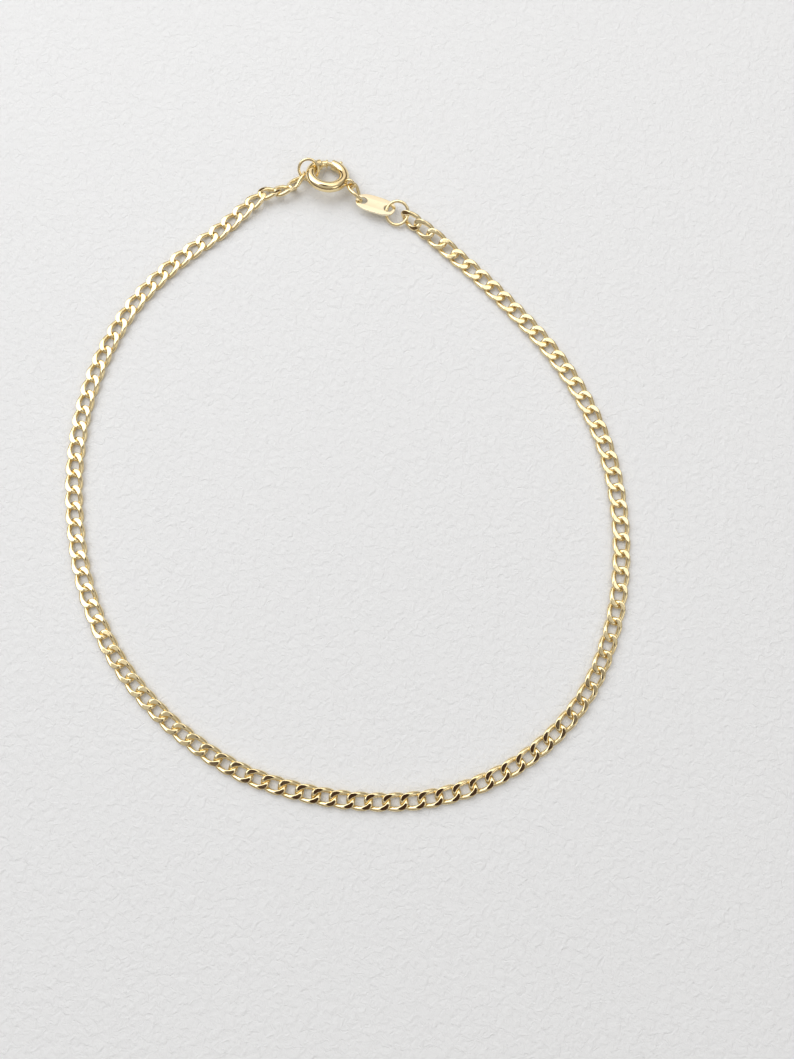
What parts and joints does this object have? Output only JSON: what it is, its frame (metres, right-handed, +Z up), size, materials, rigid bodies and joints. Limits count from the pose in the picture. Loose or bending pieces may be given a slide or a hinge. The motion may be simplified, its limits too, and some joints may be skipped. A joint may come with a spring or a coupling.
{
  "type": "chain anklet",
  "caption": "Open curb chain in a whole loop, lying flat, closed by a spring ring clasp, with a small plain oval tag between the chain and the clasp.",
  "frame": {"origin": "centre of the loop's outline, on the surface that it lies on", "axes": "+Z up out of the surface, +Y along the loop's length towards the clasp, +X to the tag's side"},
  "size_m": [0.074, 0.0878, 0.0031],
  "materials": {
    "gold": "polished yellow gold",
    "tag_gold": "mirror-polished pale yellow gold"
  },
  "bodies": {
    "anklet": {"chain_right": "gold", "chain_left": "gold", "jump_ring": "gold", "tag": "tag_gold", "tag_link": "gold", "spring_ring": "gold", "end_ring": "gold"},
    "bolt": {"bolt_trigger": "gold"}
  },
  "joints": [
    {"name": "bolt_draw", "type": "hinge", "parent": "anklet", "child": "bolt", "pos_m": [-0.00293, 0.04104, 0.00155], "axis": [-0.1372, -0.3272, -0.9349], "range_deg": [0, 30], "stiffness_Nm_per_rad": 0.002, "springref_deg": -20.05}
  ]
}
